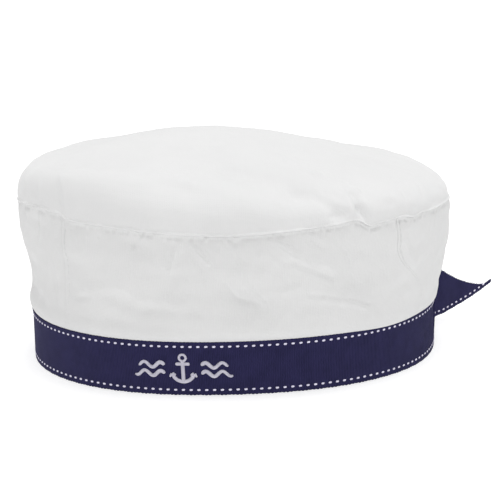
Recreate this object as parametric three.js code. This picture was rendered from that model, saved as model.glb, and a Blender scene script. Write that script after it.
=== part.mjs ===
// A soft sailor cap: a domed round top, a side wall of four sewn panels, a headband,
// and a ribbon round it whose loose end hangs off at the nape.
// Millimetres, +Z up. The brow faces -X and the nape +X.
// A turn is an angle round the cap in degrees: 0 at the brow, 90 at -Y, 180 at the nape.
import * as THREE from 'three';

// Head oval, measured over the ribbon at the rim
const headLength = 194;
const headWidth = 159;
const ovalFullness = 0.0125;

// Ribbon and headband
const ribbonWidth = 24.5;
const ribbonThickness = 1;
const ribbonFlare = 1.6;
const headbandThickness = 2;

// Crown
const sideHeight = 48.2;
const tipRise = 31.5;
const clothThickness = 1.6;
const hemThickness = 2.8;
const sideSwell = 6;
const seamWave = 4;
const seamWaveFade = 4;

// Folds in the cloth
const creaseWidth = 8;
const creaseDepth = 2;

// Loose end of the ribbon
const tailLength = 51;
const tailCutLength = 40;
const tailTipWidth = 1.6;
const tailCutHollow = 1.25;
const tailLift = 0.4;

// Clearance between neighbouring pieces
const gap = 0.3;

// Fineness of the facets
const columnTurn = 3;
const tailSteps = 26;
const tailBands = 4;

const fullTurn = 360;
const panelSeamTurns = [39, 141, 219, 321];
const wallRows = [0, 0.06, 0.14, 0.26, 0.4, 0.55, 0.7, 0.85, 1];
const domeRows = [0, 1, 2, 3, 4, 5, 6, 7, 8, 9];
const poleStep = 10;

// Where effects fade, as shares of the way up the wall, out to the seam or along the tail
const hemShare = 0.14;
const creaseTopShare = 0.9;
const topCreaseEdge = 0.97;
const lapShare = 0.4;

// Height of the seam under the top, as a share of seamWave. Both sides of the cap are alike.
const seamLine = [
  { turn: 0, lift: 0.45 },
  { turn: 7, lift: 0.5 },
  { turn: 18, lift: 0.9 },
  { turn: 30, lift: 1.25 },
  { turn: 38, lift: 1.15 },
  { turn: 42, lift: 0.5 },
  { turn: 52, lift: 0.45 },
  { turn: 65, lift: 0 },
  { turn: 78, lift: -0.3 },
  { turn: 90, lift: -0.45 },
  { turn: 105, lift: -0.15 },
  { turn: 127, lift: 0.25 },
  { turn: 134, lift: -0.25 },
  { turn: 142, lift: 0.1 },
  { turn: 150, lift: -0.3 },
  { turn: 162, lift: -0.25 },
  { turn: 173, lift: -0.9 },
  { turn: 180, lift: -1 },
];

// Swell of the side wall past the head oval, as shares of sideSwell. Up runs from hem to seam.
const wallSections = [
  { up: 0, brow: 0.25, ear: 0.34, nape: 0.22 },
  { up: 0.08, brow: 0.42, ear: 0.62, nape: 0.3 },
  { up: 0.18, brow: 0.2, ear: 0.66, nape: 0.48 },
  { up: 0.4, brow: 0.14, ear: 0.7, nape: 0.8 },
  { up: 0.6, brow: 0.48, ear: 0.88, nape: 1.02 },
  { up: 0.8, brow: 0.78, ear: 1, nape: 1.18 },
  { up: 1, brow: 0.8, ear: 1, nape: 1.2 },
];

// Profile of the top from its seam to its middle. Out is a share of the seam's radius, rise of
// tipRise, and lean is added to rise at the brow and taken from it at the nape.
const domeSections = [
  { step: 0, out: 1, rise: 0, lean: 0 },
  { step: 1, out: 0.999, rise: 0.11, lean: 0.04 },
  { step: 2, out: 0.988, rise: 0.21, lean: 0.085 },
  { step: 3, out: 0.96, rise: 0.325, lean: 0.125 },
  { step: 4, out: 0.912, rise: 0.44, lean: 0.15 },
  { step: 5, out: 0.84, rise: 0.54, lean: 0.14 },
  { step: 6, out: 0.73, rise: 0.64, lean: 0.125 },
  { step: 7, out: 0.58, rise: 0.745, lean: 0.115 },
  { step: 8, out: 0.4, rise: 0.85, lean: 0.105 },
  { step: 9, out: 0.2, rise: 0.95, lean: 0.06 },
  { step: 10, out: 0, rise: 0.985, lean: 0 },
];

// Creases in the side wall, from one point to another, with width and depth as shares of
// creaseWidth and creaseDepth. A negative depth stands out.
const wallCreases = [
  { turn: 29, up: 0.95, toTurn: 27, toUp: 0.6, width: 0.8, depth: 0.4 },
  { turn: 38, up: 0.36, toTurn: 52, toUp: 0.32, width: 0.9, depth: -0.4 },
  { turn: 53, up: 0.98, toTurn: 52, toUp: 0.8, width: 0.7, depth: 0.4 },
  { turn: 63, up: 0.98, toTurn: 62, toUp: 0.78, width: 0.7, depth: 0.45 },
  { turn: 74, up: 0.98, toTurn: 75, toUp: 0.8, width: 0.9, depth: 0.4 },
  { turn: 72, up: 0.28, toTurn: 94, toUp: 0.16, width: 0.8, depth: -0.4 },
  { turn: 88, up: 0.54, toTurn: 99, toUp: 0.34, width: 0.8, depth: 0.35 },
  { turn: 102, up: 0.88, toTurn: 111, toUp: 0.66, width: 0.8, depth: -0.4 },
  { turn: 113, up: 0.5, toTurn: 123, toUp: 0.32, width: 0.8, depth: -0.4 },
  { turn: 152, up: 0.7, toTurn: 160, toUp: 0.3, width: 1, depth: 0.35 },
  { turn: 196, up: 0.75, toTurn: 206, toUp: 0.4, width: 1, depth: 0.35 },
  { turn: 236, up: 0.9, toTurn: 244, toUp: 0.6, width: 0.9, depth: 0.4 },
  { turn: 262, up: 0.5, toTurn: 274, toUp: 0.3, width: 0.9, depth: -0.4 },
  { turn: 288, up: 0.95, toTurn: 286, toUp: 0.7, width: 0.8, depth: 0.4 },
  { turn: 306, up: 0.4, toTurn: 318, toUp: 0.3, width: 0.9, depth: -0.35 },
];

// Creases in the top, as shares of its half length towards the nape and its half width
// towards +Y, with width and depth as above.
const topCreases = [
  { x: 0.48, y: -0.72, toX: 0.55, toY: -0.83, width: 0.75, depth: 1.2 },
  { x: 0.53, y: -0.66, toX: 0.63, toY: -0.78, width: 0.8, depth: -0.6 },
  { x: -0.08, y: -0.5, toX: 0.14, toY: -0.82, width: 2, depth: 0.6 },
  { x: -0.68, y: -0.6, toX: -0.72, toY: -0.68, width: 0.8, depth: 0.6 },
  { x: 0.35, y: 0.3, toX: 0.6, toY: 0.5, width: 2, depth: 0.5 },
  { x: -0.45, y: 0.45, toX: -0.2, toY: 0.7, width: 2, depth: 0.5 },
];

// Way of the loose end past the point where it leaves the ribbon: out from the cap, along its
// rim and up, as shares of tailLength.
const tailTurns = { start: 181, leave: 185 };
const tailWay = [
  { out: 0.02, along: 0.08, rise: 0.01 },
  { out: 0.07, along: 0.28, rise: 0.05 },
  { out: 0.17, along: 0.37, rise: 0.065 },
  { out: 0.32, along: 0.5, rise: 0.1 },
  { out: 0.48, along: 0.61, rise: 0.15 },
  { out: 0.63, along: 0.72, rise: 0.2 },
  { out: 0.73, along: 0.79, rise: 0.24 },
];

const headbandHeight = ribbonWidth;
const meanRadius = (headLength + headWidth) / 4;
const hemHeight = headbandHeight + gap;
const seamHeight = hemHeight + sideHeight;
const apexHeight = seamHeight + tipRise;

// Value of one column of a table at a place between its rows, on a smooth curve whose slope at
// each row is that of the parabola through the row and its neighbours.
function smoothColumn(rows, key, column, at) {
  const last = rows.length - 1;
  const slope = (i) => {
    const before = Math.max(i - 1, 0);
    const after = Math.min(i + 1, last);
    const left = rows[i][key] - rows[before][key];
    const right = rows[after][key] - rows[i][key];
    const fall = rows[i][column] - rows[before][column];
    const climb = rows[after][column] - rows[i][column];
    if (left === 0) return climb / right;
    if (right === 0) return fall / left;
    return ((fall / left) * right + (climb / right) * left) / (left + right);
  };
  let i = 0;
  while (i < last - 1 && rows[i + 1][key] <= at) i += 1;
  const span = rows[i + 1][key] - rows[i][key];
  const t = (at - rows[i][key]) / span;
  const square = t * t;
  const cube = square * t;
  return (2 * cube - 3 * square + 1) * rows[i][column]
    + (cube - 2 * square + t) * span * slope(i)
    + (3 * square - 2 * cube) * rows[i + 1][column]
    + (cube - square) * span * slope(i + 1);
}

// Rises smoothly from 0 at low to 1 at high
function ramp(low, high, at) {
  return THREE.MathUtils.smoothstep(at, low, high);
}

// Point of the head oval at a turn, with its half length and half width grown by an outset
function ovalPoint(turn, outset, height) {
  const angle = THREE.MathUtils.degToRad(turn);
  const alongShare = Math.cos(angle) / (headLength / 2 + outset);
  const acrossShare = Math.sin(angle) / (headWidth / 2 + outset);
  const radius = (1 - ovalFullness * Math.cos(4 * angle)) / Math.hypot(alongShare, acrossShare);
  return new THREE.Vector3(-radius * Math.cos(angle), -radius * Math.sin(angle), height);
}

// Depth of all creases of a table at a place in the cloth: each is deepest on its line and
// fades off beside it and past its ends
function creaseAt(creases, place, ends) {
  let depth = 0;
  for (const crease of creases) {
    const [start, end] = ends(crease);
    const line = new THREE.Line3(start, end);
    const nearest = line.closestPointToPoint(place, true, new THREE.Vector3());
    const share = nearest.distanceTo(place) / (creaseWidth * crease.width);
    depth += creaseDepth * crease.depth * Math.exp(-share * share);
  }
  return depth;
}

// The side wall laid out flat, for measuring along it
function flatWallPlace(turn, up) {
  return new THREE.Vector3(THREE.MathUtils.degToRad(turn) * meanRadius, up * sideHeight, 0);
}

function wallCrease(turn, up) {
  const fade = ramp(0, hemShare, up) * (1 - ramp(creaseTopShare, 1, up));
  const ends = (crease) => [
    flatWallPlace(crease.turn, crease.up),
    flatWallPlace(crease.toTurn, crease.toUp),
  ];
  return fade * creaseAt(wallCreases, flatWallPlace(turn, up), ends);
}

function topCrease(point, out) {
  const halfLength = headLength / 2 + sideSwell;
  const halfWidth = headWidth / 2 + sideSwell;
  const ends = (crease) => [
    new THREE.Vector3(crease.x * halfLength, crease.y * halfWidth, 0),
    new THREE.Vector3(crease.toX * halfLength, crease.toY * halfWidth, 0),
  ];
  const fade = 1 - ramp(topCreaseEdge, 1, out);
  return fade * creaseAt(topCreases, new THREE.Vector3(point.x, point.y, 0), ends);
}

function seamHeightAt(turn) {
  const round = ((turn % fullTurn) + fullTurn) % fullTurn;
  const mirrored = Math.min(round, fullTurn - round);
  return seamHeight + seamWave * smoothColumn(seamLine, 'turn', 'lift', mirrored);
}

// How far the side wall's outer face stands past the head oval
function wallOutset(turn, up) {
  const facing = Math.cos(THREE.MathUtils.degToRad(turn));
  const endColumn = facing > 0 ? 'brow' : 'nape';
  const endShare = smoothColumn(wallSections, 'up', endColumn, up);
  const earShare = smoothColumn(wallSections, 'up', 'ear', up);
  const share = THREE.MathUtils.lerp(earShare, endShare, facing * facing);
  return sideSwell * share - wallCrease(turn, up);
}

// Outer face of the top, without its creases
function domePoint(turn, step) {
  const out = smoothColumn(domeSections, 'step', 'out', step);
  const rise = smoothColumn(domeSections, 'step', 'rise', step);
  const lean = smoothColumn(domeSections, 'step', 'lean', step);
  const facing = Math.cos(THREE.MathUtils.degToRad(turn));
  const seam = seamHeight + (seamHeightAt(turn) - seamHeight) * out ** seamWaveFade;
  const point = ovalPoint(turn, wallOutset(turn, 1), 0).multiplyScalar(out);
  point.z = THREE.MathUtils.lerp(seam, apexHeight, rise + lean * facing) + gap / 2;
  return point;
}

// Direction out of the top's face, from its neighbours along the profile and round the cap
function domeNormal(turn, step) {
  const halfStep = 0.25;
  const low = Math.max(step - halfStep, 0);
  const along = domePoint(turn, step + halfStep).sub(domePoint(turn, low));
  const round = domePoint(turn + 1, step).sub(domePoint(turn - 1, step));
  const normal = round.cross(along).normalize();
  return step === 0 ? normal.setZ(0).normalize() : normal;
}

// Turns of all columns round the cap
function ringTurns() {
  return Array.from({ length: fullTurn / columnTurn }, (_, i) => i * columnTurn);
}

// Closes an outer and an inner grid of points into one solid. Rows run upwards, columns round
// the cap or along a strip. Poles, one for each face, close the last row.
function wallSolid(outer, inner, { ring = false, poles = null } = {}) {
  const rows = outer.length;
  const columns = outer[0].length;
  const lastRow = rows - 1;
  const lastColumn = columns - 1;
  const points = [...outer.flat(), ...inner.flat(), ...(poles ?? [])];
  const out = (row, column) => row * columns + (column % columns);
  const into = (row, column) => (rows + row) * columns + (column % columns);
  const index = [];
  const quad = (a, b, c, d) => index.push(a, b, c, a, c, d);
  const spans = ring ? columns : lastColumn;
  for (let c = 0; c < spans; c += 1) {
    for (let r = 0; r < lastRow; r += 1) {
      quad(out(r, c), out(r, c + 1), out(r + 1, c + 1), out(r + 1, c));
      quad(into(r, c + 1), into(r, c), into(r + 1, c), into(r + 1, c + 1));
    }
    quad(into(0, c), into(0, c + 1), out(0, c + 1), out(0, c));
    if (poles) {
      const outerPole = 2 * rows * columns;
      index.push(out(lastRow, c), out(lastRow, c + 1), outerPole);
      index.push(into(lastRow, c + 1), into(lastRow, c), outerPole + 1);
    } else {
      quad(out(lastRow, c), out(lastRow, c + 1), into(lastRow, c + 1), into(lastRow, c));
    }
  }
  for (let r = 0; !ring && r < lastRow; r += 1) {
    quad(out(r, 0), out(r + 1, 0), into(r + 1, 0), into(r, 0));
    quad(out(r + 1, lastColumn), out(r, lastColumn), into(r, lastColumn), into(r + 1, lastColumn));
  }
  const geometry = new THREE.BufferGeometry();
  const positions = points.flatMap((point) => point.toArray());
  geometry.setAttribute('position', new THREE.Float32BufferAttribute(positions, 3));
  geometry.setIndex(index);
  geometry.computeVertexNormals();
  return geometry;
}

// Upright ring that leans out like the ribbon, from a face outset to a thickness inwards
function bandSolid(faceOutset, thickness, height) {
  const face = (outset) => [0, height].map((z) => ringTurns().map(
    (turn) => ovalPoint(turn, outset + (ribbonFlare * z) / ribbonWidth, z),
  ));
  return wallSolid(face(faceOutset), face(faceOutset - thickness), { ring: true });
}

// One sewn panel of the side wall between two seams. Its hem is turned in and thicker.
function sidePanelSolid(fromTurn, toTurn) {
  const clear = THREE.MathUtils.radToDeg(gap / 2 / meanRadius);
  const inside = ringTurns().flatMap((turn) => [turn, turn + fullTurn])
    .filter((turn) => turn > fromTurn && turn < toTurn);
  const turns = [fromTurn + clear, ...inside.sort((a, b) => a - b), toTurn - clear];
  const hemFade = (up) => ramp(0, hemShare, up);
  const thickness = (up) => THREE.MathUtils.lerp(hemThickness, clothThickness, hemFade(up));
  const face = (inset) => wallRows.map((up) => turns.map((turn) => {
    const top = seamHeightAt(turn) - gap / 2;
    const outset = wallOutset(turn, up) - inset * thickness(up);
    return ovalPoint(turn, outset, THREE.MathUtils.lerp(hemHeight, top, up));
  }));
  return wallSolid(face(0), face(1));
}

// The domed top, a shell as thick as the cloth
function topSolid() {
  const place = (turn, step, depth) => {
    const point = domePoint(turn, step);
    const out = smoothColumn(domeSections, 'step', 'out', step);
    const offset = -topCrease(point, out) - depth;
    return point.addScaledVector(domeNormal(turn, step), offset);
  };
  const face = (depth) => domeRows.map((step) => ringTurns().map(
    (turn) => place(turn, step, depth),
  ));
  const pole = (depth) => {
    const point = domePoint(0, poleStep);
    point.z -= depth + topCrease(point, 0);
    return point;
  };
  return wallSolid(face(0), face(clothThickness), {
    ring: true,
    poles: [pole(0), pole(clothThickness)],
  });
}

// Lower edge of the loose end: a short lap against the ribbon, then out into the air
function tailCurve() {
  const lapOutset = gap + ribbonThickness / 2;
  const lap = [tailTurns.start, tailTurns.leave].map(
    (turn) => ovalPoint(turn, lapOutset, tailLift),
  );
  const leave = lap[1];
  const way = tailWay.map((row) => new THREE.Vector3(
    leave.x + row.out * tailLength,
    leave.y + row.along * tailLength,
    leave.z + row.rise * tailLength,
  ));
  return new THREE.CatmullRomCurve3([...lap, ...way]);
}

// The loose end: a strip of the ribbon with its tip cut on a slant, long at the lower edge
function tailSolid() {
  const curve = tailCurve();
  const length = curve.getLength();
  const lapLean = ribbonFlare / ribbonWidth;
  const shares = Array.from({ length: tailSteps + 1 }, (_, i) => i / tailSteps);
  const bands = Array.from({ length: tailBands + 1 }, (_, i) => i / tailBands);
  const face = (side) => bands.map((band) => shares.map((share) => {
    const point = curve.getPointAt(share);
    const tangent = curve.getTangentAt(share);
    const outward = new THREE.Vector3(tangent.y, -tangent.x, 0).normalize();
    const fromTip = length * (1 - share);
    const cutShare = Math.min(fromTip / tailCutLength, 1) ** tailCutHollow;
    const width = THREE.MathUtils.lerp(tailTipWidth, ribbonWidth, cutShare);
    const lean = lapLean * (1 - ramp(0, lapShare, share));
    point.addScaledVector(outward, side * ribbonThickness / 2 + lean * band * width);
    point.z += band * width;
    return point;
  }));
  return wallSolid(face(1), face(-1));
}

const cottonWhite = new THREE.MeshStandardMaterial({ color: 0xe6e6e8, roughness: 0.9, metalness: 0 });
const topWhite = new THREE.MeshStandardMaterial({ color: 0xf0f0f1, roughness: 0.9, metalness: 0 });
const liningWhite = new THREE.MeshStandardMaterial({ color: 0xdedee0, roughness: 0.95, metalness: 0 });
const ribbonNavy = new THREE.MeshStandardMaterial({ color: 0x2e2b52, roughness: 0.75, metalness: 0 });

function piece(name, geometry, material) {
  const mesh = new THREE.Mesh(geometry, material);
  mesh.name = name;
  return mesh;
}

const cap = new THREE.Group();
const headbandOutset = -ribbonThickness - gap;
cap.add(piece('headband', bandSolid(headbandOutset, headbandThickness, headbandHeight), liningWhite));
cap.add(piece('ribbon_band', bandSolid(0, ribbonThickness, ribbonWidth), ribbonNavy));
cap.add(piece('ribbon_tail', tailSolid(), ribbonNavy));

const panelNames = ['side_panel_left', 'side_panel_nape', 'side_panel_right', 'side_panel_brow'];
panelNames.forEach((name, i) => {
  const from = panelSeamTurns[i];
  const wraps = i === panelNames.length - 1;
  const to = wraps ? panelSeamTurns[0] + fullTurn : panelSeamTurns[i + 1];
  cap.add(piece(name, sidePanelSolid(from, to), cottonWhite));
});
cap.add(piece('crown_top', topSolid(), topWhite));

// The cap stands on z = 0 with the middle of its whole box at the origin
const extent = new THREE.Box3().setFromObject(cap);
const middle = extent.getCenter(new THREE.Vector3());
cap.position.set(-middle.x, -middle.y, -extent.min.z);

const sailorCap = new THREE.Group();
sailorCap.add(cap);

export default sailorCap;
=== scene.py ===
import math

import bpy
import numpy as np
from mathutils import Matrix, Vector


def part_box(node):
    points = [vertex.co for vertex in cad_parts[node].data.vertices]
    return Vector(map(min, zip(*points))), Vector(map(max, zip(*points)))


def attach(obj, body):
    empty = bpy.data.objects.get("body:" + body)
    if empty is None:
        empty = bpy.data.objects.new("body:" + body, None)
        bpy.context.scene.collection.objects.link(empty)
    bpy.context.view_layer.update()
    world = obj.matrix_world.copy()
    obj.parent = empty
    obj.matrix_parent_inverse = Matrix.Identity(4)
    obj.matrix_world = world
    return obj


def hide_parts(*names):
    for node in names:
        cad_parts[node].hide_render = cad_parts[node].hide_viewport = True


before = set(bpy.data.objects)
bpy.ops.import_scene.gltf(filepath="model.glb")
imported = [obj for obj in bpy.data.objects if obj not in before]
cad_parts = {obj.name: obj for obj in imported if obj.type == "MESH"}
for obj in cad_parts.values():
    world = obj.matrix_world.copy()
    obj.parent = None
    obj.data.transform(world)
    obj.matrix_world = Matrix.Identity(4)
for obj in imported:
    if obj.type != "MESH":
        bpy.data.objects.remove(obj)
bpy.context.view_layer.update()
collection = bpy.context.scene.collection

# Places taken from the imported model
band_low, band_high = (1000 * np.array(corner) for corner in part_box("headband"))
crown_high = 1000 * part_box("crown_top")[1].z
centre_x = (band_low[0] + band_high[0]) / 2
band_height = band_high[2]

# Head oval over the ribbon at the rim
half_length = 97.0
half_width = 79.5
oval_fullness = 0.0125
ribbon_thickness = 0.9

# Crown
side_height = 48.2
hem_height = band_height - 0.2
seam_height = hem_height + side_height
apex_height = crown_high + 0.05
side_swell = 6.0
seam_wave = 4.0
cloth_thickness = 1.2
mean_radius = (half_length + half_width) / 2

# Saddle stitches of the ribbon
stitch_inset = 2.6
upper_inset = 2.2
stitch_pitch = 3.386
stitch_length = 1.58
stitch_width = 0.88
stitch_height = 0.36
rib_pitch = 0.76
rib_height = 0.1
rib_columns = 5
scallop_pitch = 1.69

# Small forms of the side wall: heights and depths in mm
fold_depth = 1.2
gather_height = 0.17
gather_bias = 0.8
hem_gather_height = 0.14
drag_height = 0.1
tuck_depth = 0.38
tuck_place = 1.15
tuck_width = 0.95
nape_hem_drop = 1.1

# Sewing of the panels: the arc that places across one are measured in, the band of seam
# allowance and the topstitching
panel_arc = 163.0
allowance_height = 0.28
topstitch_dent = 0.14
topstitch_inset = 2.1
topstitch_pitch = 2.6
topstitch_length = 1.7
topstitch_width = 0.36
topstitch_height = 0.2

# Edge of the top: the welt that the seam raises and the groove above it
welt_height = 0.46
groove_depth = 0.06

# Headband: outset of its outer and inner face, roundness and the heights of its topstitching
band_outer = -1.35
band_inner = -3.3
band_round = 0.7
band_dent = 0.22
band_dent_heights = 3.2, 20.5

# Ornament: middle, in mm along the ribbon from turn 90 and above the rim
ornament_arc = -22.3
ornament_height = 12.2

# Loose end of the ribbon
tail_length = 51.0
tail_cut = 40.0
tail_tip = 1.3
tail_strip = 4.2
tail_hollow = 1.2
tail_rows = 2.1, 22.2
tail_row_start = 2.0
tail_bare_tip = 5.6
tail_steps = 800
fray_count = 130
tack_count = 12
tack_place = 2.6

# Height of the seam under the top as a share of seam_wave: turn, lift
SEAM_LINE = np.array([
    [0, 0.85], [7, 0.85], [18, 1.3], [30, 1.52], [36, 1.36], [39.8, 1.22], [41.2, 0.86],
    [45, 0.66], [52, 0.54], [65, 0.12], [78, -0.25], [90, -0.4], [105, -0.2], [120, 0.18],
    [126.5, 0.26], [128.2, -0.2], [134, -0.15], [140, 0.05], [144.5, -0.3], [147.5, -0.06],
    [150, -0.1], [156, -0.1], [162, -0.05], [173, -0.45], [180, -0.55],
])

# How far the ribbon's face stands out past the head oval: turn, at the rim, at four fifths of
# its height, at its top
RIBBON_SECTIONS = np.array([
    [0, 1.6, 1.2, 1.8], [10, 1.6, 1.2, 1.8], [35, 1, 1.35, 1.8], [60, 0.3, 1.4, 1.7],
    [90, 0, 1.3, 1.6], [130, 0.3, 1.2, 1.6], [152, 0.8, 0.7, 1.3], [170, 0.2, -0.3, 0.9],
    [180, 0.2, -0.3, 0.9],
])

# Swell of the side wall as a share of side_swell: up, at the brow, at the ears, at the nape
WALL_SECTIONS = np.array([
    [0, 0.25, 0.34, 0.22], [0.08, 0.42, 0.62, 0.3], [0.18, 0.2, 0.66, 0.48],
    [0.4, 0.14, 0.7, 0.8], [0.6, 0.48, 0.88, 1.02], [0.8, 0.78, 1, 1.18], [1, 0.8, 1, 1.2],
])

# Profile of the top: step, out as a share of the seam's radius, rise, lean to the brow
DOME_SECTIONS = np.array([
    [0, 1, 0, 0], [1, 0.999, 0.125, 0.03], [2, 0.988, 0.24, 0.067], [3, 0.96, 0.36, 0.103],
    [4, 0.912, 0.475, 0.13], [5, 0.84, 0.57, 0.125], [6, 0.73, 0.66, 0.115],
    [7, 0.58, 0.745, 0.115], [8, 0.4, 0.85, 0.105], [9, 0.2, 0.95, 0.06], [10, 0, 0.985, 0],
])

# Folds in the side wall: turn, up, turn and up of the other end, width and depth in mm.
# A negative depth stands out.
WALL_FOLDS = np.array([
    [29, 0.95, 27, 0.6, 6.4, 0.8], [38, 0.36, 52, 0.32, 7.2, -0.8],
    [53, 0.98, 52, 0.8, 5.6, 0.6], [63, 0.98, 62, 0.78, 5.6, 0.5],
    [74, 0.98, 75, 0.8, 7.2, 0.8], [72, 0.28, 94, 0.16, 6.4, -0.8],
    [88, 0.54, 99, 0.34, 6.4, 0.7], [102, 0.88, 111, 0.66, 6.4, -0.8],
    [113, 0.5, 123, 0.32, 6.4, -0.8], [152, 0.7, 160, 0.3, 8, 0.7],
    [196, 0.75, 206, 0.4, 8, 0.7], [236, 0.9, 244, 0.6, 7.2, 0.8],
    [262, 0.5, 274, 0.3, 7.2, -0.8], [288, 0.95, 286, 0.7, 6.4, 0.8],
    [306, 0.4, 318, 0.3, 7.2, -0.7],
])

# Sharper, shallower folds over them, in the same columns
FINE_FOLDS = np.array([
    [52.1, 1, 52, 0.91, 0.8, 0.45], [56.4, 0.98, 56.3, 0.94, 0.8, 0.25],
    [62.5, 1, 62.2, 0.86, 0.75, 0.42], [65, 0.98, 64.4, 0.85, 0.9, -0.3],
    [69.6, 0.97, 71.3, 0.93, 1.2, 0.3], [75.7, 0.94, 72.8, 0.68, 1.2, -0.5],
    [77.5, 0.95, 75, 0.76, 1.3, 0.15], [78.9, 0.93, 83.5, 0.76, 1, -0.7],
    [78.3, 0.86, 81.6, 0.7, 1.1, 0.3], [80.7, 0.93, 85.4, 0.81, 1.2, 0.2],
    [85.1, 0.98, 85.9, 0.88, 1.1, 0.4], [87.9, 0.98, 89.2, 0.89, 1.1, 0.3],
    [89.6, 0.97, 91.4, 0.86, 1.1, -0.25], [97.7, 0.96, 97.8, 0.85, 1.1, 0.45],
    [101.5, 0.94, 106, 0.82, 1.1, -0.6], [106.6, 0.8, 111.7, 0.7, 1.1, -0.5],
    [99.5, 0.89, 105, 0.73, 1.3, 0.35], [103.8, 0.94, 109.1, 0.82, 1.1, 0.35],
    [110.2, 0.96, 115.3, 0.82, 1.1, 0.3], [112.5, 0.97, 117.6, 0.84, 1.1, -0.25],
    [107.2, 0.73, 118.4, 0.54, 1.4, 0.4], [109.4, 0.79, 119.6, 0.61, 1.4, -0.35],
    [92.5, 0.78, 93.2, 0.6, 1.3, -0.3], [93.8, 0.56, 98.7, 0.36, 1.4, -0.5],
    [88.3, 0.56, 91.1, 0.43, 1.2, 0.35], [91.9, 0.41, 97.3, 0.36, 1.1, 0.4],
    [112.1, 0.41, 130.3, 0.26, 1.1, 0.42], [116.5, 0.35, 128.9, 0.24, 1.3, -0.45],
    [99.3, 0.44, 108.8, 0.49, 2, -0.42], [65, 0.29, 79, 0.31, 3.4, 0.6],
    [57.8, 0.29, 63, 0.28, 3, 0.35], [46.6, 0.38, 51, 0.45, 2.5, -0.42],
    [52.6, 0.46, 57.1, 0.48, 2.5, -0.42], [58.6, 0.46, 62.3, 0.39, 2.4, -0.42],
    [64, 0.37, 78, 0.33, 2.4, -0.35], [42, 0.32, 47, 0.36, 1.6, 0.5],
    [29.7, 0.95, 27.6, 0.72, 0.9, -0.35], [28.1, 0.94, 26.4, 0.74, 0.9, 0.25],
    [140.6, 0.77, 145.6, 0.53, 1.8, -0.4], [121.9, 0.85, 123.6, 0.64, 1.3, 0.25],
    [47.8, 0.98, 48.3, 0.79, 1.1, -0.25], [45.1, 0.95, 45.8, 0.8, 1.1, 0.2],
    [152, 0.97, 151.8, 0.63, 1.3, -0.25], [155.7, 0.97, 154.2, 0.71, 1.3, 0.25],
    [34.3, 0.57, 34.3, 0.24, 1.8, -0.3], [39.6, 0.6, 39.4, 0.31, 1.8, 0.3],
    [8, 0.5, 16, 0.3, 2.4, 0.3], [12, 0.24, 24, 0.2, 2, 0.35], [342, 0.45, 334, 0.28, 2.4, 0.3],
    [350, 0.26, 340, 0.2, 2, 0.3], [196, 0.72, 205, 0.4, 2.2, 0.35],
    [206, 0.3, 216, 0.2, 2.2, -0.3], [228, 0.5, 238, 0.36, 2.2, 0.3],
    [238, 1, 237, 0.86, 1.4, 0.4], [247, 1, 247.5, 0.84, 1.4, 0.35],
    [256, 0.9, 264, 0.7, 2.2, -0.3], [262, 0.48, 274, 0.32, 2.2, 0.3],
    [270, 1, 270, 0.87, 1.3, 0.35], [281, 1, 280.5, 0.86, 1.4, 0.4],
    [292, 1, 292.5, 0.83, 1.4, 0.4], [300, 0.6, 309, 0.42, 2.2, 0.3],
    [306, 0.4, 317, 0.3, 2, 0.3], [310, 1, 309, 0.87, 1.3, 0.35],
    [268, 0.22, 288, 0.14, 2.4, -0.32],
])

# Folds in the top, in mm from the middle: x, y, x and y of the other end, width, depth
TOP_FOLDS = np.array([
    [51, -67, 56, -73, 3.6, 1.2], [60.5, -70, 68, -64, 3.6, -0.9],
    [-8.2, -42.8, 14.4, -70.1, 16, 1.2], [-70, -51.3, -74.2, -58.1, 6.4, 0.6],
    [36, 25.7, 61.8, 42.8, 16, 1], [-46.4, 38.5, -20.6, 59.9, 16, 1], [2, -57, 28, -72, 8, 2.4],
    [28, -72, 46, -76, 4.6, 1.4], [16, 8, 34, 8, 16, -1], [22, -36, 38, -57, 2.4, -0.65],
    [38, -57, 52, -66, 2, -0.9], [38, -72, 46, -75, 1.6, -0.4], [37, -75, 43, -78, 1.8, 0.4],
    [44, -75, 52, -75, 1.6, -0.5], [44, -78, 54, -75, 1.6, 0.3], [51, -69, 54, -73, 1.2, 1],
    [54, -73, 56, -73, 1.2, 1], [53, -65, 56, -70, 1.3, -0.7], [56, -70, 59, -70, 1.6, -0.5],
    [61, -70, 65, -68, 2.2, 0.4], [-73, -46, -71, -62, 0.9, -0.45],
    [-74.5, -50, -73, -61, 1.8, 0.15], [-83, -46, -83, -50, 1, -0.3],
    [-85, -45, -85, -48, 0.9, 0.25], [74, -57, 77, -60, 1, 0.5], [77, -53, 80, -57, 1.1, -0.4],
    [83, -43, 84, -51, 0.9, 0.35], [86, -40, 87, -46, 1.1, -0.3], [66, -66, 69, -64, 0.9, 0.4],
    [-52, -55, -17, -71, 2.8, -0.35], [-16, -72, 8, -79, 2.6, -0.3],
    [-47, -62, -18, -76, 3.1, 0.3], [45, -35, 66, -47, 5, -0.25], [49, -44, 69, -56, 5, 0.2],
    [-35, -34, 0, -47, 5, -0.35], [-62, -67, -58, -71, 1.8, 0.3], [93, -31, 96, -29, 1.1, 0.4],
    [60, -10, 78, -26, 7, 0.4], [-70, -10, -84, -30, 7, 0.35], [-60, 50, -50, 66, 4, 0.5],
    [10, 74, 34, 70, 4, 0.5], [55, 55, 62, 66, 3.4, 0.7], [-20, 20, 20, 34, 10, 0.45],
    [80, 20, 88, 36, 4, 0.45], [-84, 20, -78, 44, 4.5, 0.45],
])

# Broad soft forms of the top: turn, its spread, mm in from the seam, mm more a degree of turn,
# reach in mm, rise in mm
TOP_SWELLS = np.array([
    [38, 24, 16, 0, 7, 2], [54, 24, 11, 0.22, 6, 2.4], [136, 22, 18, 0, 6, 0.8],
    [176, 16, 5, 0, 4, -0.9],
])

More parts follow.
